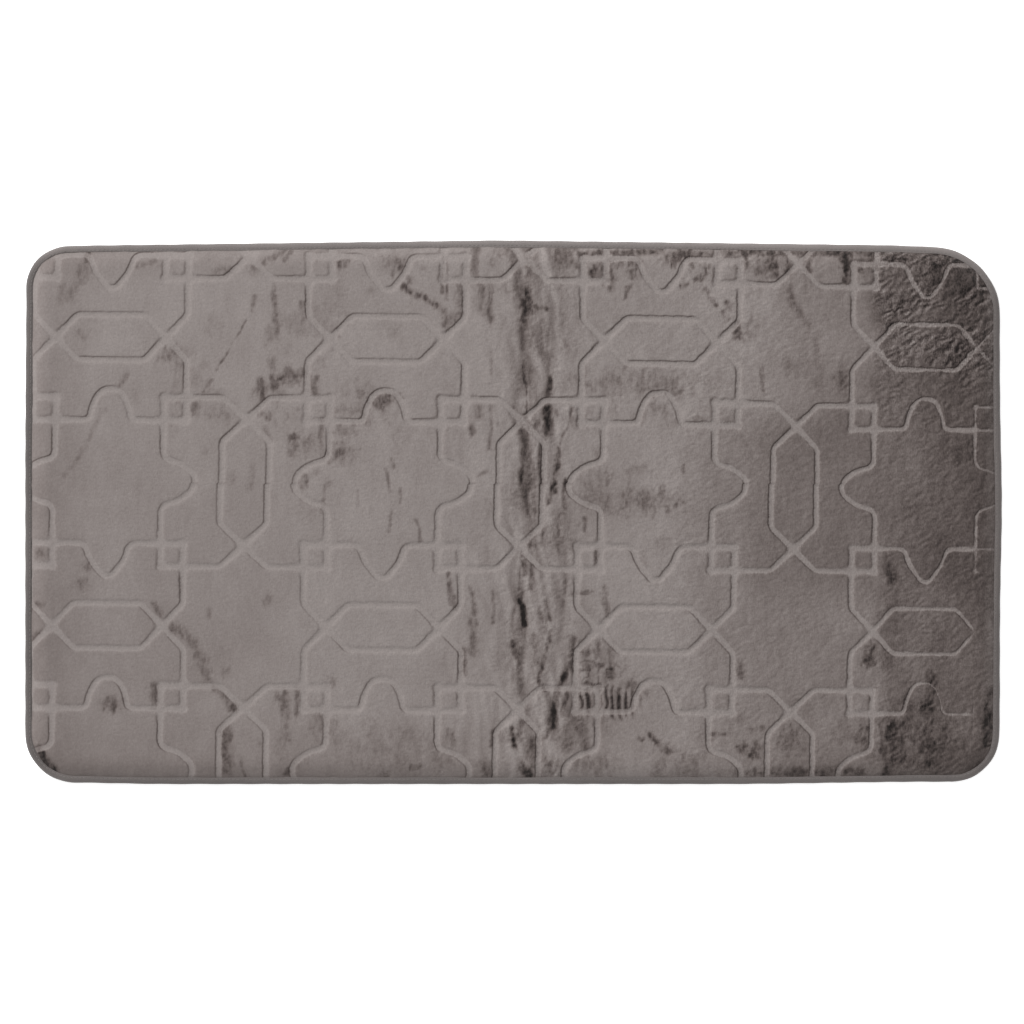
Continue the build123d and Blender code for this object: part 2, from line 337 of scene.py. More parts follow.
STREAKS = [
    (-102, 212, -88, 203, 6, 1.1), (-86, 203, -72, 194, 5, 0.9), (-66, 190, -58, 180, 7, 0.8),
    (-60, 176, -50, 186, 8, 0.7), (-97, 220, -95, 216, 5, 0.5), (-233, 113, -218, 122, 9, 0.75),
    (-220, 124, -196, 132, 9, 0.75), (-237, 122, -234, 106, 9, 0.8), (-211, 133, -206, 128, 7, 0.6),
    (-188, 124, -187, 110, 8, 0.5), (-206, 72, -207, 54, 6, 0.85), (-178, 86, -181, 62, 5, 0.65),
    (-232, 78, -228, 68, 5, 0.55), (-238, 98, -234, 92, 6, 0.5), (-297, 100, -297, 92, 6, 0.55),
    (-224, 212, -222, 170, 4.5, 0.5), (-242, 202, -244, 190, 4, 0.45), (-196, 196, -195, 172, 5, 0.4),
    (-250, 180, -264, 158, 1.7, 0.6), (-266, 154, -280, 132, 1.5, 0.5), (-284, 124, -290, 112, 2, 0.5),
    (-384, 96, -400, 66, 4, 0.28), (-400, 66, -420, 34, 4, 0.22), (-397, 236, -416, 204, 10, 0.3),
    (-398, 241, -398, 237, 5, 0.9), (-352, 231, -336, 236, 5, 0.35), (-362, 129, -370, 117, 5, 0.5),
    (-224, 240, -214, 246, 5, 0.6), (-209, 244, -214, 238, 5, 0.5), (-236, 233, -228, 239, 5, 0.4),
    (-176, 26, -178, 0, 2.5, 0.4), (-246, 42, -247, 22, 5, 0.3), (-338, -86, -326, -100, 5, 0.5),
    (-322, -106, -318, -114, 6, 0.6), (-314, -110, -298, -124, 8, 0.45), (-294, -134, -286, -156, 8, 0.5),
    (-312, -60, -312, -80, 4, 0.4), (-278, -166, -262, -184, 7, 0.75), (-270, -204, -267, -246, 8, 0.6),
    (-258, -230, -250, -250, 4, 0.5), (-216, -170, -213, -214, 8, 0.5), (-203, -166, -203, -190, 5, 0.6),
    (-337, -164, -337, -182, 6, 0.6), (-447, -224, -432, -244, 7, 1.5), (-447, -114, -452, -120, 5, 0.5),
    (-450, -88, -444, -87, 5, 0.6), (-96, -241, -88, -238, 5, 0.6), (178, 222, 184, 232, 5, 0.9),
    (172, 218, 178, 220, 4, 0.8), (160, 212, 166, 214, 4, 0.8), (180, 210, 181, 207, 4, 0.8),
    (185, 201, 191, 194, 3.5, 0.7), (201, 197, 204, 191, 5, 0.7), (198, 188, 202, 181, 5, 0.6),
    (258, 212, 276, 176, 6, 0.35), (283, 160, 285, 120, 12, 0.2), (275, 237, 279, 228, 6, 0.95),
    (314, 241, 313, 217, 8, 1.2), (212, 175, 214, 165, 8, 0.75), (235, 136, 236, 114, 4, 0.45),
    (161, 44, 161, 38, 3, 0.5), (62, 243, 140, 245, 5, 1.0), (150, 242, 250, 244, 6, 1.05),
    (255, 244, 335, 243, 5, 0.9), (90, 236, 118, 235, 7, 0.95), (92, 212, 92, 230, 8, 0.7),
    (104, 226, 116, 228, 4, 0.7), (70, 234, 82, 235, 4, 0.85), (71, 224, 82, 224, 5, 0.75),
    (106, 212, 106, 200, 2.5, 0.6), (106, 208, 112, 214, 2.5, 0.5), (45, 244, 58, 232, 8, 0.5),
    (90, 245, 118, 243, 4, 0.7), (130, -209, 140, -219, 5, 1.25), (121, -213, 124, -214, 4, 0.8),
    (143, -224, 146, -225, 5, 0.9), (80, -36, 80, -50, 4, 0.9), (90, 36, 92, 18, 4, 0.5),
    (86, -70, 88, -98, 4, 0.55), (64, -76, 76, -75, 3, 0.5), (50, -58, 50, -76, 4, 0.5),
    (54, -78, 60, -76, 4, 0.6), (212, -142, 213, -152, 8, 0.7), (188, -209, 206, -209, 3.5, 0.6),
    (222, -205, 236, -203, 4, 0.6), (216, -222, 228, -226, 9, 0.95), (228, -216, 232, -222, 6, 0.7),
    (336, -128, 335, -140, 10, 0.85), (354, -42, 356, -62, 8, 0.6), (394, -156, 391, -184, 9, 0.6),
    (372, -176, 378, -240, 8, 0.5), (409, -190, 404, -232, 5, 0.45), (390, -184, 391, -236, 12, 0.9),
    (345, -196, 352, -246, 7, 0.8), (449, -170, 447, -215, 9, 0.9), (400, 240, 396, 218, 10, 0.7),
]
# Each patch is (x, y, half width, half height, darkness): ruffled pile that breaks up into specks.
RUFFLED = [
    (14, 194, 8, 14, 0.9), (30, 160, 12, 18, 0.3), (52, 240, 13, 8, 0.45), (77, 230, 9, 9, 0.95),
    (103, 234, 18, 8, 1.0), (92, 217, 7, 8, 0.9), (112, 222, 9, 7, 0.6), (150, 240, 13, 9, 0.8),
    (176, 236, 12, 10, 0.6), (242, 230, 21, 12, 0.9), (218, 234, 10, 8, 0.6), (330, 232, 11, 9, 0.7),
    (355, 238, 12, 6, 0.8), (120, 122, 60, 16, 0.4), (107, 135, 6, 5, 0.6), (150, 115, 25, 10, 0.45),
    (140, 98, 12, 9, 0.35), (177, 87, 7, 4, 0.6), (78, 28, 18, 20, 0.3), (80, 12, 22, 14, 0.4),
    (128, 10, 35, 13, 0.65), (-322, 149, 14, 10, 0.5), (-315, 138, 10, 8, 0.35), (-403, 167, 8, 6, 0.25),
    (-420, 205, 8, 10, 0.25), (-272, 226, 12, 6, 0.35), (-243, 230, 8, 7, 0.45), (-162, 234, 9, 6, 0.7),
    (-235, 115, 8, 11, 0.7), (-212, 125, 18, 8, 0.6), (-188, 117, 7, 9, 0.4), (-275, 95, 12, 12, 0.25),
    (-230, 90, 5, 5, 0.8), (-195, 65, 10, 10, 0.35), (-157, 78, 14, 8, 0.5), (-162, 55, 15, 11, 0.65),
    (-158, 95, 16, 6, 0.35), (-195, 30, 6, 7, 0.7), (-173, 28, 4, 4, 0.4), (-185, 38, 4, 4, 0.3),
    (-263, 30, 6, 8, 0.25), (-133, 207, 5, 5, 0.35), (-112, 234, 12, 11, 0.55), (-105, 229, 5, 7, 0.7),
    (-60, 180, 10, 8, 0.6), (-120, 104, 14, 8, 0.7), (-142, 112, 7, 6, 0.55), (-138, 88, 7, 12, 0.4),
    (-105, 108, 5, 5, 0.4), (-30, 200, 8, 12, 0.45), (-50, 200, 6, 14, 0.35), (80, -140, 22, 24, 0.45),
    (75, -145, 6, 6, 0.7), (92, -150, 8, 8, 0.7), (70, -162, 7, 3, 0.8), (80, -163, 5, 4, 0.9),
    (120, -171, 8, 6, 0.6), (110, -163, 12, 5, 0.6), (58, -205, 20, 11, 0.45), (42, -20, 20, 26, 0.3),
    (85, -238, 26, 14, 0.35), (-110, -222, 60, 30, 0.2), (-70, -232, 14, 8, 0.3), (-405, -68, 8, 8, 0.4),
    (-400, -52, 6, 6, 0.5), (-378, -180, 13, 8, 0.6), (-443, -38, 6, 7, 0.4), (-230, -82, 5, 7, 0.4),
    (-285, -95, 4, 6, 0.4), (-268, -150, 6, 6, 0.3), (-185, -205, 11, 16, 0.35), (-211, -245, 9, 5, 0.8),
    (-203, -238, 5, 7, 0.7), (-170, -160, 5, 6, 0.35), (335, -215, 16, 20, 0.7), (385, -212, 36, 36, 0.42),
    (362, -228, 20, 16, 0.6), (352, -100, 14, 26, 0.2), (424, 60, 16, 22, 0.25), (398, -110, 12, 24, 0.2),
    (262, -215, 18, 14, 0.45), (270, -245, 75, 6, 0.7), (362, -215, 18, 28, 0.8), (350, -140, 12, 12, 0.4),
    (263, 135, 12, 9, 0.3), (310, 125, 12, 16, 0.4), (225, 172, 11, 10, 0.3), (400, 230, 10, 16, 0.6),
    (360, 195, 12, 10, 0.4), (430, 210, 14, 20, 0.4), (410, 150, 12, 12, 0.3),
]
# Where the fold crushed the pile into short upright bars: (x, y, half width, half height, darkness).
BARRED = [(69, -180, 11, 12, 1.0), (98, -180, 18, 12, 1.0), (84, -169, 28, 6, 0.7)]
bar_pitch = 7
# A mark has faded out at this many times its width.
mark_reach = 2.2


def mottled(share, torn, hairs):
    """A soft mark that is torn at its edges and streaked along the pile inside, as brushed pile is."""
    body = ease(share + 0.3 * torn, 0.05, 1.05)
    specks = ease(share + 0.8 * torn, 0.45, 1.1)
    return ease(share, 0.02, 0.35) * (0.5 * body + 0.5 * specks) * np.clip(0.92 + 0.5 * hairs, 0.1, 1.8)


def torn_noise(x, y):
    """Noise of three sizes that breaks up the edges of the marks."""
    coarse = noise(x + 2 * noise(x, y, 6, 6, 16), y, 7, 11, 13) + 0.9 * noise(x, y, 3.4, 5.5, 14)
    return 0.5 * coarse + 0.5 * noise(x, y, 1.7, 2.9, 15)


def upright_hairs(x, y):
    """Fine noise stretched along the pile, from -1 to 1."""
    swayed = x + 2.2 * noise(x, y, 8, 10, 17)
    fine = noise(swayed, y, 1.9, 7, 18) + 0.8 * noise(swayed, y, 4.2, 13, 19)
    return 0.75 * fine + 0.35 * noise(x, y, 2.0, 2.4, 20)


def streak_tone(x, y, torn, hairs, streaks):
    """Darkness of a set of streaks, each fading at its sides and ends."""
    tone = np.zeros(x.shape)
    wander = 2.0 * noise(x, y, 10, 16, 11)
    for x0, y0, x1, y1, width, darkness in streaks:
        reach_x = abs(x1 - x0) / 2 + mark_reach * width
        reach_y = abs(y1 - y0) / 2 + mark_reach * width
        in_reach = (abs(x - (x0 + x1) / 2) < reach_x) & (abs(y - (y0 + y1) / 2) < reach_y)
        near = np.flatnonzero(in_reach)
        length = math.hypot(x1 - x0, y1 - y0)
        along_x = (x1 - x0) / length
        along_y = (y1 - y0) / length
        rel_x = x[near] - x0 + wander[near]
        rel_y = y[near] - y0
        along = rel_x * along_x + rel_y * along_y
        aside = rel_x * along_y - rel_y * along_x
        beyond = np.maximum(0, np.maximum(-along, along - length))
        away = np.hypot(aside, beyond) / (0.75 * width)
        share = np.exp(-(away**2))
        tone[near] = np.maximum(tone[near], darkness * mottled(share, torn[near], hairs[near]))
    return tone


def patch_tone(x, y, torn, hairs, patches):
    """Darkness of a set of soft oval patches, broken up by the given noise."""
    tone = np.zeros(x.shape)
    for centre_x, centre_y, half_width, half_height, darkness in patches:
        over_x = (x - centre_x) / half_width
        over_y = (y - centre_y) / half_height
        near = np.flatnonzero((abs(over_x) < mark_reach) & (abs(over_y) < mark_reach))
        away = np.hypot(over_x[near], over_y[near])
        share = np.exp(-((away / 1.05) ** 2))
        tone[near] = np.maximum(tone[near], darkness * mottled(share, torn[near], hairs[near]))
    return tone


def speckle(x, y, torn, hairs):
    """Scattered small specks of leaning pile around the places where the marks lie thickest."""
    where = blots(x, y, (0.3, -210, 110, 110, 90), (0.25, 120, 100, 60, 90)) + 0.2 * bell(x, 20, 60)
    where += 0.32 * ease(y, 190, 240) * ease(x, -150, -60)
    where += 0.26 * ease(-y, 150, 230) * ease(x, -320, -240)
    cloud = noise(x, y, 28, 30, 95) + 0.6 * noise(x, y, 12, 14, 96) + 0.55 * torn
    return where * ease(cloud, 0.2, 1.1) * np.clip(1 + 0.5 * hairs, 0.2, 1.8)


def curls(x, y):
    """Curling dark lines where the pile was crumpled beside the fold."""
    where = blots(x, y, (0.6, 80, 24, -152, 20), (0.36, 62, 26, -196, 12))
    return where * ease(0.24 - abs(noise(x + 2 * noise(x, y, 4, 4, 98), y, 7, 8, 97)), 0, 0.2)


def pile_lean_and_edge_shade(x, y):
    """Overall darkness of the pile: the right end leans away from the light, with a ragged border. Painted
    shade darkens the left end and the front edge left of the middle, and painted light brightens the right
    rim.
    """
    right = x + 7 * rough(x, y, 26, 40, 31)
    back = ease(y, 70, 110)
    front = ease(-y, 50, 100)
    at_back = climb(right, (0.17, 225, 265), (0.1, 265, 320), (0.36, 332, 346), (0.22, 365, 425))
    across = climb(right, (0.25, 140, 205), (0.2, 205, 255), (0.07, 255, 310), (0.18, 320, 375))
    across += climb(right, (0.2, 375, 425))
    at_front = climb(right, (0.22, 145, 200), (0.05, 200, 300), (0.28, 338, 356), (0.14, 370, 425))
    tone = 0.03 + back * at_back + (1 - back - front) * across + front * at_front
    tone += blots(x, y, (0.2, 95, 50, -195, 40), (0.16, 310, 30, 105, 30), (0.09, -330, 90, -150, 80))
    tone += blots(x, y, (0.16, 72, 42, 12, 45)) + 0.07 * ease(-x, 180, 260) * bell(y, -20, 130)
    tone += 0.13 * ease(-y, 185, 235) * ease(-x, -40, 40) + 0.05 * ease(-x, 60, 300) * ease(-y, 60, 160)
    # Painted shade: the first term darkens the front edge left of the middle.
    tone += 0.12 * ease(-y, 225, 246) * ease(-x, -60, 40) + 0.16 * ease(-y, 205, 235) * ease(x, 230, 300)
    # Painted shade: the last term darkens the left end.
    tone += 0.1 * ease(y, 212, 240) * ease(-x, 60, 300) + 0.16 * ease(-x, 380, 440)
    # Painted light: the right rim is made lighter.
    tone -= 0.3 * ease(x, 440, 452)
    return tone + 0.06 * rough(x, y, 34, 40, 51) + 0.03 * rough(x, y, 11, 15, 52)


def painted_ridge_shade(x, y):
    """How far the ridges slope away from the key light, from -1 to 1, which the pile's tone takes in as
    painted shade.
    """
    return np.clip(crinkles(x - 1.1, y + 0.7) - crinkles(x + 1.1, y - 0.7), -1, 1)


def fold_tone(x, y):
    """Darkness in the band where the mat was folded: upright streaks of leaning pile, and painted shade on
    the sides of the rumples that face away from the light.
    """
    # Painted shade: darker where the rumples slope down to the right, away from the light.
    rumple_shade = fold_rumples(x - 2.5, y) - fold_rumples(x + 2.5, y)
    thin = ease(noise(x + 2 * noise(x, y, 7, 11, 55), y, 2.8, 24, 56), 0.3, 0.9)
    front = ease(-y, 0, 110)
    back = ease(y, 0, 60)
    strength = (0.32 + 0.08 * back) * bell(x, 22, 26)
    strength += front * (0.14 * bell(x, -35, 30) + 0.16 * bell(x, 60, 30))
    return strength * (0.3 + 1.1 * np.clip(rumple_shade, -0.6, 1) + 0.45 * thin) + 0.12 * back * bell(x, 14, 14)


def fold_rumples(x, y):
    """Height, from -1 to 1, of the soft upright rumples left by the fold."""
    swayed = x + 5 * noise(x, y, 40, 32, 82) + 0.1 * y
    return noise(swayed, y, 10, 46, 83) + 0.4 * noise(swayed, y, 5, 20, 88)


def crinkles(x, y):
    """Short ridges of pile, from -1 to 1, that run from lower left to upper right."""
    along = 0.87 * x + 0.5 * y + 2.5 * noise(x, y, 8, 8, 71)
    across = 0.5 * x - 0.87 * y + 2.5 * noise(x, y, 7, 7, 74)
    ridges = 1 - 2.6 * abs(noise(along, across, 8, 4.2, 72))
    return 0.6 * ridges + 0.5 * noise(along, across, 4.2, 2.6, 73)


def marks_in_pile(x, y, torn, hairs):
    """Darkness of all the marks where the pile was brushed or crushed."""
    sway = 3 * noise(x, y, 8, 10, 63) + 4 * noise(x, y, 30, 60, 62)
    bars = np.sin(2 * np.pi * (x + sway) / bar_pitch)
    marks = 1.12 * streak_tone(x, y, 0.6 * torn, hairs, FOLD_STREAKS)
    marks = np.maximum(marks, streak_tone(x, y, torn, hairs, STREAKS))
    marks = np.maximum(marks, patch_tone(x, y, torn, hairs, RUFFLED))
    marks = np.maximum(marks, patch_tone(x, y, 0.7 * bars + 0.5 * torn, 0.9 * bars, BARRED))
    return np.maximum(0.95 * marks, speckle(x, y, torn, hairs)) + curls(x, y)


def pile_marks(x, y):
    """Tone of the pile, from 0 light to about 1 dark, with painted shade on ridges, rumples and edges, and
    how strongly it is ruffled, at laid points.
    """
    hairs = upright_hairs(x, y)
    marks = marks_in_pile(x, y, torn_noise(x, y), hairs)
    lean_and_edge_shade = pile_lean_and_edge_shade(x, y)
    upper_right = ease(x, 335, 350) * (0.25 * ease(y, 60, 110) + 0.75 * ease(y, 118, 150))
    upper_right = upper_right * (0.45 + 0.75 * ease(noise(x, y, 24, 20, 61), -0.35, 0.45))
    right_half = ease(x, 60, 200)
    right_end = ease(x, 320, 380)
    fold = bell(x, 24, 34)
    ruffle = 0.05 * ease(x, -260, -140) + 0.12 * right_half + 0.13 * fold
    ruffle += 0.85 * upper_right + 0.16 * right_end * (1 - upper_right) + 0.3 * np.clip(marks, 0, 1)
    tone = lean_and_edge_shade + marks * (1 - 0.35 * lean_and_edge_shade) + fold_tone(x, y)
    # Painted shade on the ridge sides that face away from the key light, where the pile is ruffled.
    tone += ruffle * (0.1 * crinkles(x, y) + 0.42 * painted_ridge_shade(x, y))
    tone += (0.04 + 0.08 * fold + 0.03 * right_half) * hairs
    tone += right_end * (0.12 * rough(x, y, 20, 44, 57) + 0.1 * ease(y, 150, 215))
    return tone, np.clip(ruffle, 0, 1.2)


# ---- making meshes
def add_piece(name, points, faces, material, node):
    """A smooth piece from points in millimetres, which rides on the mat and stands for a CAD node."""
    mesh = bpy.data.meshes.new(name)
    mesh.from_pydata((np.asarray(points) * MM).tolist(), [], faces)
    mesh.shade_smooth()
    mesh.materials.append(material)
    piece = add_object(name, mesh)
    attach(piece, "root")
    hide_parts(node)
    return piece


def add_object(name, data):
    """A new object in the scene, with the given mesh, lamp or camera."""
    item = bpy.data.objects.new(name, data)
    bpy.context.scene.collection.objects.link(item)
    return item


def store(piece, name, values):
    """Give each point of a piece a named number for its material to read."""
    attribute = piece.data.attributes.new(name, "FLOAT", "POINT")
    attribute.data.foreach_set("value", np.asarray(values, np.float32))


def oblong_grid(inset, columns, rows):
    """Points over the outline less an inset, before the mat is laid down, eased round at the corners."""
    x, y = np.meshgrid(np.linspace(inset - half_x, half_x - inset, columns + 1),
                       np.linspace(inset - half_y, half_y - inset, rows + 1))
    radius = radius_at(x, y) - inset
    over_x = np.maximum(np.abs(x) - (half_x - inset - radius), 0) / radius
    over_y = np.maximum(np.abs(y) - (half_y - inset - radius), 0) / radius
    pull_x = radius * over_x * (1 - np.sqrt(1 - over_y**2 / 2))
    pull_y = radius * over_y * (1 - np.sqrt(1 - over_x**2 / 2))
    return x - np.sign(x) * pull_x, y - np.sign(y) * pull_y


def rim_of(grid):
    """The border of a grid of point numbers, anticlockwise from above."""
    return np.concatenate([grid[0, :-1], grid[:-1, -1], grid[-1, :0:-1], grid[:0:-1, 0]])


def quads_of(grid):
    """The faces of a grid of point numbers, facing up."""
    corners = [grid[:-1, :-1], grid[:-1, 1:], grid[1:, 1:], grid[1:, :-1]]
    return np.stack(corners, -1).reshape(-1, 4)


def closed_layer(x, y, top, under, coarser):
    """Points and faces of a closed layer over a grid of nominal places.

    top and under give heights from the nominal x and y. The underside has fewer points, by coarser each way.
    """
    low_x = x[::coarser, ::coarser]
    low_y = y[::coarser, ::coarser]
    upper = np.stack([*laid(x, y), top(x, y)], -1).reshape(-1, 3)
    lower = np.stack([*laid(low_x, low_y), under(low_x, low_y)], -1).reshape(-1, 3)
    upper_grid = np.arange(x.size).reshape(x.shape)
    lower_grid = x.size + np.arange(low_x.size).reshape(low_x.shape)
    upper_rim = rim_of(upper_grid)
    lower_rim = rim_of(lower_grid)
    faces = quads_of(upper_grid).tolist() + quads_of(lower_grid)[:, ::-1].tolist()
    for i in range(len(lower_rim)):
        following = (i + 1) % len(lower_rim)
        run = upper_rim[np.arange((i + 1) * coarser, i * coarser - 1, -1) % len(upper_rim)]
        faces.append([int(lower_rim[i]), int(lower_rim[following]), *run.tolist()])
    return np.concatenate([upper, lower]), faces


def mat_layer(inset, grid, top, under):
    """Points and faces of a closed layer that fills the outline less an inset."""
    return closed_layer(*oblong_grid(inset, *grid), top, under, 4)


def tube_faces(first_point, rings, sides):
    """Faces of a capped tube, whose points are numbered ring by ring from first_point."""
    faces = []
    for near in range(first_point, first_point + (rings - 1) * sides, sides):
        for side in range(sides):
            following = (side + 1) % sides
            faces.append([near + side, near + sides + side, near + sides + following, near + following])
    last = first_point + (rings - 1) * sides
    faces.append(list(range(first_point, first_point + sides)))
    faces.append(list(range(last, last + sides))[::-1])
    return faces


def flat_at(height):
    """A height that is the same all over a layer."""
    return lambda x, y: np.full(x.shape, height)


# ---- material helpers
def new_material(name):
    """A material with its node tree and its shader node."""
    material = bpy.data.materials.new(name)
    material.use_nodes = True
    return material, material.node_tree, material.node_tree.nodes["Principled BSDF"]


def add_node(tree, kind, output, inputs, **settings):
    """One output of a new node, whose inputs are each a value or a socket."""
    node = tree.nodes.new("ShaderNode" + kind)
    for name, value in settings.items():
        setattr(node, name, value)
    for name, value in inputs.items():
        if isinstance(value, bpy.types.NodeSocket):
            tree.links.new(value, node.inputs[name])
        else:
            node.inputs[name].default_value = value
    return node.outputs[output]


def calculate(tree, operation, first, second=0.0, third=0.0):
    """The result of a sum on numbers or sockets."""
    return add_node(tree, "Math", 0, {0: first, 1: second, 2: third}, operation=operation)


def stored(tree, name):
    """A named number stored on the mesh."""
    return add_node(tree, "Attribute", "Fac", {}, attribute_name=name)


def place(tree, scale=(1, 1, 1), turn=0.0):
    """Object coordinates in metres, stretched and turned about the upright."""
    inputs = {"Vector": add_node(tree, "TexCoord", "Object", {}), "Scale": scale, "Rotation": (0, 0, turn)}
    return add_node(tree, "Mapping", "Vector", inputs)


def grain_of(tree, vector, size, detail=2.0):
    """Noise from about -1 to 1 with grains of about the given size in millimetres."""
    inputs = {"Vector": vector, "Scale": 1 / (size * MM), "Detail": detail}
    return calculate(tree, "MULTIPLY_ADD", add_node(tree, "TexNoise", "Fac", inputs), 4.0, -2.0)


def shade_of(tree, colour, lightness):
    """A colour times a lightness that varies."""
    return add_node(tree, "VectorMath", 0, {0: colour, "Scale": lightness}, operation="SCALE")


def rising(tree, value, start, end):
    """0 up to start and 1 from end, with a smooth rise between. start may be above end."""
    inputs = {"Value": value, "From Min": start, "From Max": end}
    return add_node(tree, "MapRange", "Result", inputs, interpolation_type="SMOOTHSTEP")


def raise_by(tree, shader, height, depth):
    """Bump the shader by a height, with its full depth in millimetres."""
    normal = add_node(tree, "Bump", "Normal", {"Distance": depth * MM, "Height": height})
    tree.links.new(normal, shader.inputs["Normal"])


def summed(tree, base, *parts):
    """A number or socket plus each socket of the parts times its weight."""
    total = base
    for socket, weight in parts:
        total = calculate(tree, "MULTIPLY_ADD", socket, weight, total)
    return total


def bands_of(tree, vector, direction, pitch, distortion=0.0):
    """Soft bands from 0 to 1, with their pitch in millimetres."""
    inputs = {"Vector": vector, "Scale": 2 * math.pi / (20 * pitch * MM), "Distortion": distortion}
    return add_node(tree, "TexWave", "Fac", inputs, bands_direction=direction)


def paint(tree, shader, colour, level, roughness):
    """Give the shader a colour times a varying level, and its roughness."""
    tree.links.new(shade_of(tree, colour, level), shader.inputs["Base Color"])
    shader.inputs["Roughness"].default_value = roughness


# ---- the pile cover
LIGHT_COLOUR = (1.105, 0.975, 0.931, 1)
DARK_COLOUR = (1.2, 0.955, 0.885, 1)
LIGHT_PILE = 0.512
DARKEST_PILE = 0.13
DARKENING = 0.232
DISPLAY_GAMMA = 2.2
PILE_GAIN = 0.92


def pile_tint(tree, tone):
    """The pile's colour, a little redder where its tone is dark, from leaning pile and painted shade."""
    inputs = {"A": LIGHT_COLOUR, "B": DARK_COLOUR, "Factor": tone}
    return add_node(tree, "Mix", "Result", inputs, data_type="RGBA")


def pile_tone(tree, fibres, tufts, ruffle):
    """How dark the pile is: its stored tone, less in the grooves, with a painted shade line at each pad edge
    that faces away from the key light.
    """
    from_groove = summed(tree, stored(tree, "from_groove"), (fibres, 0.22))
    groove = rising(tree, from_groove, 3.3, 1.7)
    tone = calculate(tree, "MULTIPLY", stored(tree, "tone"), summed(tree, 1.0, (groove, -0.74)))
    tone = summed(tree, tone, (groove, -0.05))
    # Painted shade: a dark line just inside each pad edge on the side away from the key light.
    shade_line_start = rising(tree, from_groove, 2.0, 2.7)
    shade_line_end = rising(tree, from_groove, 3.9, 2.9)
    painted_edge_shade = calculate(tree, "MULTIPLY", shade_line_start, shade_line_end)
    painted_edge_shade = calculate(tree, "MULTIPLY", painted_edge_shade, rising(tree, stored(tree, "side"), 0.05, 1.0))
    shade_line_share = summed(tree, 0.85, (calculate(tree, "MINIMUM", tone, 1.0), -0.5))
    fibre_share = summed(tree, 0.07, (ruffle, 0.28))
    tuft_share = summed(tree, 0.06, (ruffle, 0.12))
    return summed(tree, tone, (painted_edge_shade, shade_line_share), (fibres, fibre_share), (tufts, tuft_share))


def pile_material():
    """Short flannel pile, darker where it leans away and where shade is painted in, and a little lighter in
    the pressed grooves.
    """
    material, tree, shader = new_material("flannel_pile_visual")
    fibres = grain_of(tree, place(tree, (1, 0.45, 1)), 1.2)
    tufts = grain_of(tree, place(tree), 2.6, 3.0)
    ruffle = stored(tree, "ruffle")
    tone = pile_tone(tree, fibres, tufts, ruffle)
    level = calculate(tree, "MAXIMUM", summed(tree, LIGHT_PILE, (tone, -DARKENING)), DARKEST_PILE)
    level = calculate(tree, "POWER", level, DISPLAY_GAMMA)
    level = calculate(tree, "MULTIPLY", level, PILE_GAIN)
    paint(tree, shader, pile_tint(tree, tone), level, 0.92)
    shader.inputs["Specular IOR Level"].default_value = 0.15
    shader.inputs["Sheen Weight"].default_value = 0.16
    shader.inputs["Sheen Roughness"].default_value = 0.45
    shader.inputs["Sheen Tint"].default_value = (1.0, 0.96, 0.94, 1)
    creases = grain_of(tree, place(tree, (1, 2.0, 1), 0.5), 6.0, 3.0)
    height = summed(tree, calculate(tree, "ADD", fibres, tufts), (creases, 2.2))
    height = calculate(tree, "MULTIPLY", height, summed(tree, 0.4, (ruffle, 1.2)))
    raise_by(tree, shader, height, 0.12)
    return material


def swell(inset):
    """Height of the plain pile at a distance inside the outline, from the ledge under the tape inwards."""
    rise = np.clip((inset - tape_cover + 0.3) / (crown_inset - tape_cover), 0, 1)
    crown = (pile_top - ledge_height) * (1 - (1 - rise) ** 2.4)
    return ledge_height + crown - 0.25 * np.maximum(tape_cover - inset, 0)


def fold_relief(x, y):
    """Height of the creases that are left where the mat was folded across its middle."""
    valley = 0.8 * bell(x + 2 * noise(x, y, 40, 40, 81), 10, 8) + 0.35 * bell(x, 40, 10)
    return 0.6 * fold_rumples(x, y) * bell(x, 22, 32) - valley


def brushed_shut(x, y):
    """How far the grooves of the right end have been brushed shut, as millimetres added to their distance."""
    shut = 2.9 * ease(x, 428, 440) * (0.45 + 0.55 * ease(-y, 20, 80))
    shut += 0.8 * ease(x, 360, 385) * ease(-y, 70, 100) + 0.3 * ease(x, 150, 320)
    return shut + 1.0 * ease(x, 330, 380) * ease(noise(x, y, 22, 22, 87), 0, 0.7)


def pile_relief(x, y):
    """Height of the pile above its plain swell, with its tone, its ruffle and its distance from a groove."""
    tone, ruffle = pile_marks(x, y)
    wobble = (0.25 + 0.45 * ruffle) * noise(x, y, 5, 5, 86)
    from_groove = groove_distance(x, y) + wobble + brushed_shut(x, y)
    wall = 1 - ease(from_groove, 1.5, 3.3)
    nick = bell(y, lattice_y + 0.5, 1.0) * wall
    depth = groove_depth * (0.72 + 0.28 * ease(x, -150, 50))
    relief = -depth * (wall - 0.75 * nick) - 0.3 * np.exp(-np.maximum(from_groove - 2.5, 0) / 4)
    loose = fold_relief(x, y) - 0.4 * np.clip(tone, 0, 1.2) + 0.6 * ruffle * crinkles(x, y)
    relief += loose * (1 - 0.7 * wall) + 0.35 * rough(x, y, 45, 60, 84)
    return relief, tone + 0.8 * nick, ruffle, from_groove


def shaded_side(x, y, from_groove):
    """How squarely the nearest edge of a pad faces away from the key light, from -1 to 1, on a grid."""
    slope_x = np.gradient(from_groove, axis=1) / np.gradient(x, axis=1)
    slope_y = np.gradient(from_groove, axis=0) / np.gradient(y, axis=0)
    side = np.clip(0.75 * ease(y, 0, 60) * slope_y - 0.95 * slope_x, -1, 1)
    crisp = 0.7 + 0.3 * ease(x, -150, 0) + 0.3 * rough(x, y, 50, 50, 89)
    return side * np.clip(crisp, 0.2, 1)


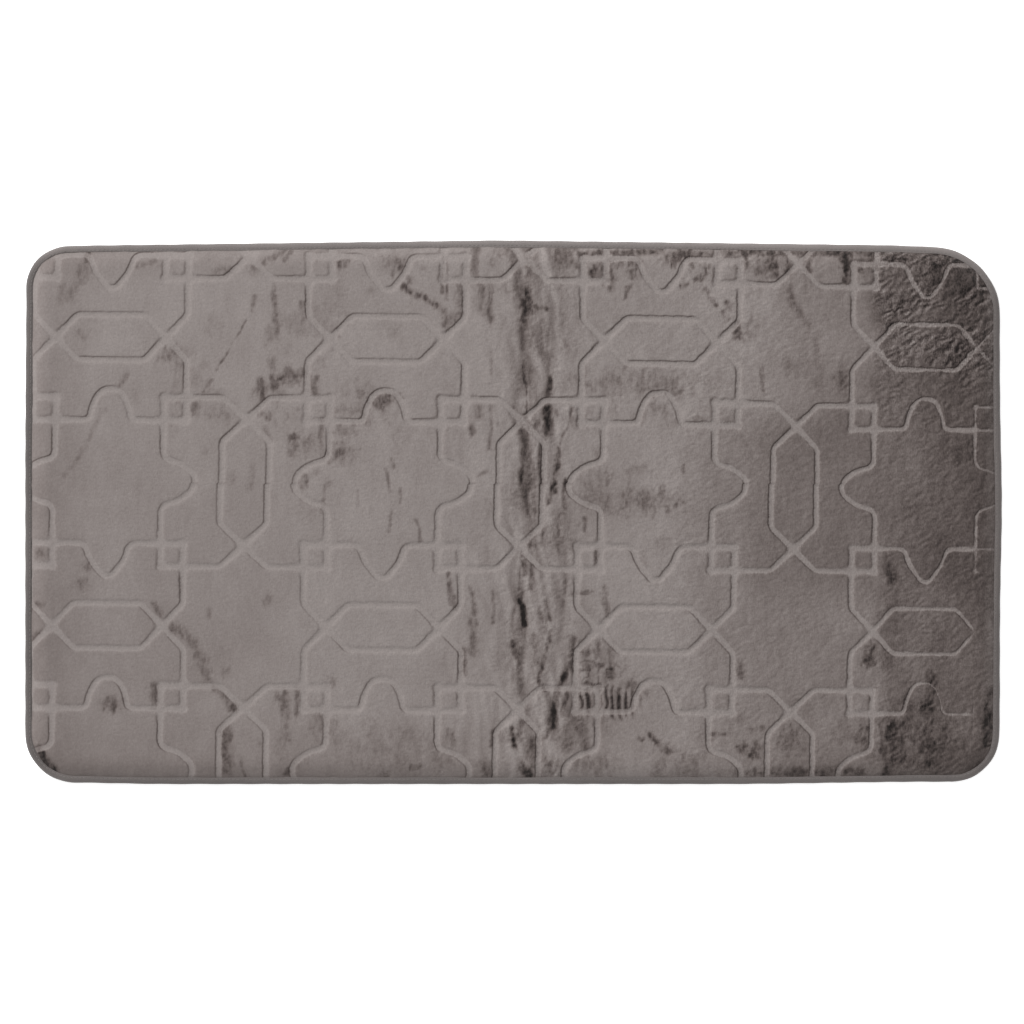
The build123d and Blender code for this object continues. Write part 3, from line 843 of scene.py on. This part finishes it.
def make_cover():
    """The embossed plush cover, a closed layer whose middle is hollowed for the foam."""
    stored_values = {}

    def top(x, y):
        lie_x, lie_y = laid(x, y)
        fields = pile_relief(lie_x.ravel(), lie_y.ravel())
        relief, tone, ruffle, from_groove = [field.reshape(x.shape) for field in fields]
        # side places the painted shade line along pad edges that face away from the key light.
        side = shaded_side(x, y, from_groove)
        stored_values.update(tone=tone, ruffle=ruffle, from_groove=from_groove, side=side)
        inset = inset_of(x, y) + 0.45 * noise(x, y, 7, 7, 85)
        free = ease(inset, tape_cover, tape_cover + 9)
        return swell(inset) + relief * (0.35 + 0.65 * free) * (inset > tape_cover - 0.5)

    def under(x, y):
        return foam_surface(x, y) + cover_gap

    points, faces = mat_layer(layer_inset, cover_grid, top, under)
    cover = add_piece("plush_cover", points, faces, pile_material(), "pile_cover")
    for name, field in stored_values.items():
        values = np.zeros(len(points))
        values[: field.size] = field.ravel()
        store(cover, name, values)


# ---- foam, backing and grip
def foam_surface(x, y):
    """Height of the top of the foam, which the tape squeezes at the edge."""
    inset = inset_of(x, y)
    rise = ease(inset, layer_inset, crown_inset)
    edge = tape_bottom + 0.55 * (tape_top - tape_bottom)
    return edge + (foam_top - foam_drop - edge) * rise


def foam_material():
    """Cream open-cell foam with fine pores, painted darker towards their hollows as shade."""
    material, tree, shader = new_material("memory_foam_visual")
    pores = add_node(tree, "TexVoronoi", "Distance", {"Vector": place(tree), "Scale": 1 / (1.1 * MM)})
    depth = calculate(tree, "MINIMUM", pores, 0.5)
    mottle = grain_of(tree, place(tree), 6)
    # Painted shade: darker towards the middle of each pore.
    paint(tree, shader, (0.78, 0.73, 0.6), summed(tree, 0.75, (depth, 0.5), (mottle, 0.03)), 0.95)
    raise_by(tree, shader, depth, 0.3)
    return material


def make_foam():
    """The memory-foam pad inside the cover."""
    under = flat_at(foam_bottom + foam_gap)
    points, faces = mat_layer(layer_inset + foam_tuck, plain_grid, foam_surface, under)
    pad = add_piece("foam_pad", points, faces, foam_material(), "foam_core")


def backing_material():
    """Grey felted backing with flecks of paler fibre."""
    material, tree, shader = new_material("nonwoven_backing_visual")
    felt = grain_of(tree, place(tree), 2.2, 4.0)
    fleck = grain_of(tree, place(tree, (1, 0.2, 1), 0.6), 1.2)
    paint(tree, shader, (0.42, 0.4, 0.38), summed(tree, 0.8, (felt, 0.05), (fleck, 0.08)), 0.95)
    raise_by(tree, shader, felt, 0.15)
    return material


def make_backing():
    """The nonwoven cloth that the foam lies on."""
    top = flat_at(cloth_top - layer_gap)
    under = flat_at(cloth_bottom + layer_gap)
    points, faces = mat_layer(layer_inset, plain_grid, top, under)
    cloth = add_piece("backing_sheet", points, faces, backing_material(), "backing_cloth")


def grip_material():
    """Moulded latex with a soft gloss, thin enough between the dots to show the cloth's texture."""
    material, tree, shader = new_material("latex_grip_visual")
    cloud = grain_of(tree, place(tree), 14, 3.0)
    felt = grain_of(tree, place(tree), 1.6, 3.0)
    paint(tree, shader, (0.45, 0.43, 0.41), summed(tree, 0.95, (cloud, 0.04), (felt, 0.05)), 0.5)
    tree.links.new(summed(tree, 0.5, (felt, 0.06)), shader.inputs["Roughness"])
    raise_by(tree, shader, felt, 0.08)
    return material


def dot_places():
    """Centres of the grip dots, on every second place of a grid, short of the label."""
    clear_x = (label_high.x - label_low.x) / 2 + 4
    clear_y = (label_high.y - label_low.y) / 2 + 4
    label_x = (label_high.x + label_low.x) / 2
    label_y = (label_high.y + label_low.y) / 2
    places = []
    for column in range(-dot_columns, dot_columns + 1):
        for row in range(-dot_rows, dot_rows + 1):
            x = column * half_pitch
            y = row * half_pitch
            on_label = abs(x - label_x) < clear_x and abs(y - label_y) < clear_y
            if (column + row) % 2 == 0 and not on_label:
                places.append((x, y))
    return places


def dot_mesh(first_point):
    """Points and faces of one domed dot that hangs from the film, its points numbered from first_point."""
    sides = 20
    rings = [(1.0, 0.0), (0.97, 0.45), (0.86, 0.78), (0.62, 0.95), (0.32, 1.0)]
    base = film_bottom + 0.1
    points = []
    for reach, down in rings:
        z = base - (base - dot_bottom) * down
        for angle in 2 * math.pi * np.arange(sides) / sides:
            points.append((dot_radius * reach * math.cos(angle), dot_radius * reach * math.sin(angle), z))
    return np.array(points), tube_faces(first_point, len(rings), sides)


def make_grip():
    """The latex film with its moulded dots."""
    top = flat_at(film_top - layer_gap)
    points, faces = mat_layer(layer_inset, plain_grid, top, flat_at(film_bottom))
    count = len(points)
    every_point = [points]
    for x, y in dot_places():
        dot, dot_faces = dot_mesh(count)
        every_point.append(dot + (*laid(x, y), 0))
        faces += dot_faces
        count += len(dot)
    add_piece("grip_dots", np.concatenate(every_point), faces, grip_material(), "grip_coating")


# ---- the binding tape and its seam
# The outer face of the tape's section, as (inset, height), from its edge on the pile to its edge below.
TAPE_SECTION = [
    (6.5, 8.75), (5.4, 9.0), (3.8, 8.85), (2.0, 8.0), (0.7, 6.5),
    (0.0, 4.7), (0.6, 2.7), (2.0, 1.25), (4.2, 0.55), (7.0, 0.4),
]


def smooth_through(points, share):
    """A line through given points, with share points for each span."""
    points = np.array(points, float)
    ends = np.concatenate([[2 * points[0] - points[1]], points, [2 * points[-1] - points[-2]]])
    line = []
    for before, start, end, after in zip(ends, ends[1:], ends[2:], ends[3:]):
        for t in np.arange(share) / share:
            line.append(
                start
                + 0.5 * t * (end - before)
                + t * t * (before - 2.5 * start + 2 * end - 0.5 * after)
                + t**3 * (1.5 * (start - end) + 0.5 * (after - before))
            )
    return np.array(line + [points[-1]])


def tape_material():
    """Close plain-woven polyester tape, slightly lustrous."""
    material, tree, shader = new_material("binding_tape_visual")
    strip = add_node(tree, "UVMap", "UV", {}, uv_map="weave")
    warp, weft = [bands_of(tree, strip, way, 0.9, 0.4) for way in ("X", "Y")]
    weave = calculate(tree, "MULTIPLY", warp, weft)
    wear = grain_of(tree, place(tree), 9, 3.0)
    slub = grain_of(tree, place(tree), 1.2)
    level = summed(tree, 0.84, (weave, 0.22), (wear, 0.035), (slub, 0.05))
    # Painted light and shade round the edge scale the tape's colour.
    level = calculate(tree, "MULTIPLY", level, stored(tree, "painted_light"))
    paint(tree, shader, (0.2, 0.176, 0.169), level, 0.72)
    shader.inputs["Specular IOR Level"].default_value = 0.3
    shader.inputs["Sheen Weight"].default_value = 0.1
    raise_by(tree, shader, weave, 0.12)
    return material


def tape_sway(along, whole):
    """How far the tape's inner edges wander in and out along the seam, from -1 to 1."""
    turn = 2 * math.pi * along / whole
    return 0.5 * np.sin(9 * turn + 1) + 0.3 * np.sin(23 * turn + 2) + 0.2 * np.sin(57 * turn)


def tape_section():
    """The tape's closed section as insets and heights: its outer face, and then its inner face back."""
    outer = smooth_through(TAPE_SECTION, 3)
    tangent = np.gradient(outer, axis=0)
    tangent /= np.linalg.norm(tangent, axis=1)[:, None]
    inward = np.stack([-tangent[:, 1], tangent[:, 0]], 1)
    return np.concatenate([outer, (outer + tape_thickness * inward)[::-1]])


def corner_share(path):
    """How far each point of the path is within a corner of the mat, from 0 to 1."""
    smallest = min(corner_radius.values())
    turning = (np.abs(path) > (half_x - smallest, half_y - smallest)).all(1).astype(float)
    blurred = np.convolve(np.tile(turning, 3), np.ones(9) / 9, "same")
    return blurred[len(path) : 2 * len(path)]


def tape_points(path, normals, along, whole, section):
    """Where the section lies at each step round the edge, dented by the stitches and gathered at corners."""
    inset = section[:, 0][None, :]
    height = section[:, 1][None, :]
    along = along[:, None]
    edge_share = np.clip((inset - 2.5) / 4, 0, 1)
    wander = 0.4 * edge_share * tape_sway(along, whole)
    puff = 0.12 * np.sin(2 * math.pi * along / 31 + np.sin(along / 43)) * (inset < 3)
    reach = inset + wander + puff
    folds = np.sin(2 * math.pi * along / 6.3 + 2 * np.sin(along / 17))
    gathers = 0.14 * corner_share(path)[:, None] * edge_share * folds
    pull = 0.7 + 0.3 * np.cos(2 * math.pi * along / stitch_pitch)
    dent = 0.3 * bell(inset, seam_inset, 0.9) * pull
    upper = np.where(height > tape_top / 2, 1.0, -1.0)
    places = path[:, None, :] - normals[:, None, :] * reach[:, :, None]
    x, y = laid(places[..., 0], places[..., 1])
    return np.stack([x, y, height + upper * (gathers - dent)], -1).reshape(-1, 3)


def lay_weave(tape, along, over, i, j):
    """Give each face of the tape its place in the weave, from the distances along and over the strip."""
    u = np.stack([along[i], along[i + 1], along[i + 1], along[i]], -1)
    v = np.stack([over[j], over[j], over[j + 1], over[j + 1]], -1)
    weave = tape.data.uv_layers.new(name="weave")
    weave.data.foreach_set("uv", (np.stack([u, v], -1) * MM).ravel().astype(np.float32))


def painted_tape_light(path, normals, along):
    """Painted light and shade on the tape round the edge: lightest at the back right and darkest at the left
    end, with a slight wander along it.
    """
    back = ease(normals[:, 1], 0.1, 0.95) * (0.4 + 0.6 * ease(path[:, 0], -300, 150))
    left = ease(-normals[:, 0], 0.3, 0.95)
    return 0.76 + 0.26 * back - 0.26 * left + 0.04 * np.sin(along / 37 + np.sin(along / 91))


def make_tape():
    """The binding tape, one strip rolled round the edge and pulled down by its stitches."""
    path, normals, along, whole = edge_path(1.8)
    section = tape_section()
    points = tape_points(path, normals, along, whole, section)
    around = len(path)
    across = len(section)
    i, j = np.meshgrid(np.arange(around), np.arange(across), indexing="ij")
    here = i * across
    beyond = (i + 1) % around * across
    j_next = (j + 1) % across
    faces = np.stack([here + j, beyond + j, beyond + j_next, here + j_next], -1).reshape(-1, 4).tolist()
    tape = add_piece("edge_tape", points, faces, tape_material(), "edge_binding")
    over = np.concatenate([[0], np.cumsum(np.linalg.norm(np.diff(section, axis=0), axis=1))])
    lay_weave(tape, np.append(along, whole), np.append(over, over[-1] + tape_thickness), i, j)
    # Painted light and shade for each point round the edge.
    store(tape, "painted_light", np.repeat(painted_tape_light(path, normals, along), across))


def thread_material():
    """Two-ply sewing thread, a little lighter than the tape."""
    material, tree, shader = new_material("sewing_thread_visual")
    ply = bands_of(tree, place(tree), "DIAGONAL", 0.5)
    fuzz = grain_of(tree, place(tree), 0.8)
    paint(tree, shader, (0.2, 0.18, 0.172), summed(tree, 0.8, (ply, 0.3), (fuzz, 0.05)), 0.6)
    raise_by(tree, shader, ply, 0.1)
    return material


def stitch_mesh(start, end, height, facing, first_point):
    """Points and faces of one stitch, which arches away from the cloth while its ends sink in."""
    sides = 6
    rings = [(0, 0.5, 0.5), (0.15, 0.9, 0.12), (0.5, 1.0, 0), (0.85, 0.9, 0.12), (1, 0.5, 0.5)]
    run = end - start
    aside = np.array([-run[1], run[0]]) / np.linalg.norm(run)
    points = []
    for share, thickness, sink in rings:
        radius = stitch_radius * thickness
        for angle in 2 * math.pi * np.arange(sides) / sides:
            x, y = start + run * share + aside * radius * math.cos(angle)
            points.append((x, y, height + facing * (radius * math.sin(angle) - sink)))
    faces = tube_faces(first_point, len(rings), sides)
    return points, faces if facing < 0 else [face[::-1] for face in faces]


def add_stitches(name, lines, height, facing, node, material):
    """A piece made of stitches, each a pair of laid ends."""
    points = []
    faces = []
    for start, end in lines:
        more_points, more_faces = stitch_mesh(start, end, height, facing, len(points))
        points += more_points
        faces += more_faces
    add_piece(name, points, faces, material, node)


def seam_stitches(seed):
    """The ends of each stitch along the binding seam, slightly uneven."""
    path, normals, along, whole = edge_path(0.5)
    chance = np.random.default_rng(seed)
    count = round(whole / stitch_pitch)
    start_share, end_share = 0.06, 0.92
    lines = []
    for i in range(count):
        ends = []
        for share in (start_share, end_share):
            wanted = (i + share + chance.normal(0, 0.02)) * whole / count
            at = np.searchsorted(along, wanted % whole) % len(along)
            inset = seam_inset + chance.normal(0, 0.06)
            ends.append(np.array(laid(*(path[at] - normals[at] * inset))))
        lines.append(ends)
    return lines


# ---- the blank care label
def label_material():
    """Pale woven satin with no print."""
    material, tree, shader = new_material("label_satin_visual")
    ribs = bands_of(tree, place(tree), "X", 0.35, 0.6)
    cloud = grain_of(tree, place(tree), 8)
    paint(tree, shader, (0.82, 0.82, 0.79), summed(tree, 0.88, (ribs, 0.12), (cloud, 0.02)), 0.35)
    shader.inputs["Anisotropic"].default_value = 0.5
    raise_by(tree, shader, ribs, 0.05)
    return material


def make_label():
    """The blank label under the back edge, curled a little at its ends."""
    low, high = label_low, label_high
    middle_x = (low.x + high.x) / 2
    half_width = (high.x - low.x) / 2

    def under(x, y):
        curl = 0.18 * ease(np.abs(x - middle_x), half_width - 5, half_width)
        return low.z - curl + 0.04 * noise(x, y, 9, 12, 91)

    def top(x, y):
        return under(x, y) + label_thickness

    x, y = np.meshgrid(np.linspace(low.x, high.x, 61), np.linspace(low.y, high.y, 33))
    points, faces = closed_layer(x, y, top, under, 1)
    label = add_piece("blank_label", points, faces, label_material(), "care_label")


def label_seam_lines():
    """The ends of each stitch along the label's two short seams."""
    low, high = [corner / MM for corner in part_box("label_stitching")]
    half_thread = 0.4
    stitch_length = 2.2
    pitch = 2.6
    lines = []
    for seam_y in (low.y + half_thread, high.y - half_thread):
        for start in np.arange(low.x, high.x - 2.4, pitch):
            lines.append([np.array(laid(at, seam_y)) for at in (start, start + stitch_length)])
    return lines


# ---- room, light and camera
def floor_material():
    """A clean white studio sweep that stays white in soft light."""
    material, tree, shader = new_material("studio_white")
    dust = grain_of(tree, place(tree), 400)
    paint(tree, shader, (1, 1, 1), summed(tree, 0.93, (dust, 0.004)), 0.9)
    shader.inputs["Emission Color"].default_value = (1, 1, 1, 1)
    shader.inputs["Emission Strength"].default_value = 0.6
    return material


def make_floor():
    """A wide plain floor under the mat."""
    half_side = 15
    corners = [(x * half_side, y * half_side, 0) for x, y in ((-1, -1), (1, -1), (1, 1), (-1, 1))]
    mesh = bpy.data.meshes.new("studio_floor")
    mesh.from_pydata(corners, [], [(0, 1, 2, 3)])
    mesh.materials.append(floor_material())
    floor = add_object("studio_floor", mesh)


def add_lamp(name, place_at, size, power):
    """A square soft lamp that points at the middle of the mat."""
    lamp = bpy.data.lights.new(name, "AREA")
    lamp.size = size
    lamp.energy = power
    holder = add_object(name, lamp)
    holder.location = place_at
    holder.rotation_euler = (-Vector(place_at)).to_track_quat("-Z", "Y").to_euler()


def light_studio():
    """An even white surround, with a key lamp from the back left."""
    world = bpy.data.worlds.new("studio_surround")
    world.use_nodes = True
    background = world.node_tree.nodes["Background"]
    background.inputs["Color"].default_value = (1, 1, 1, 1)
    background.inputs["Strength"].default_value = 0.58
    bpy.context.scene.world = world
    add_lamp("key", place_at=(-4.8, 4.2, 5.2), size=2.2, power=610)
    bpy.context.scene.view_settings.view_transform = "Standard"


def aim_camera():
    """The camera straight above the mat, with its back edge at the top of the picture."""
    distance = 6.0
    frame_width = 0.9639
    focus_height = 0.008
    camera = bpy.data.cameras.new("camera")
    camera.sensor_width = 36
    camera.lens = camera.sensor_width * distance / frame_width
    holder = add_object("camera", camera)
    holder.location = (-0.0005, 0, distance + focus_height)
    bpy.context.scene.camera = holder


# ---- put it together
make_cover()
make_foam()
make_backing()
make_grip()
make_tape()
thread = thread_material()
add_stitches("top_stitches", seam_stitches(1), tape_top, 1, "needle_thread", thread)
add_stitches("under_stitches", seam_stitches(2), tape_bottom + under_seam_lift, -1, "bobbin_thread", thread)
make_label()
add_stitches("label_seams", label_seam_lines(), label_low.z, -1, "label_stitching", thread)
make_floor()
light_studio()
aim_camera()
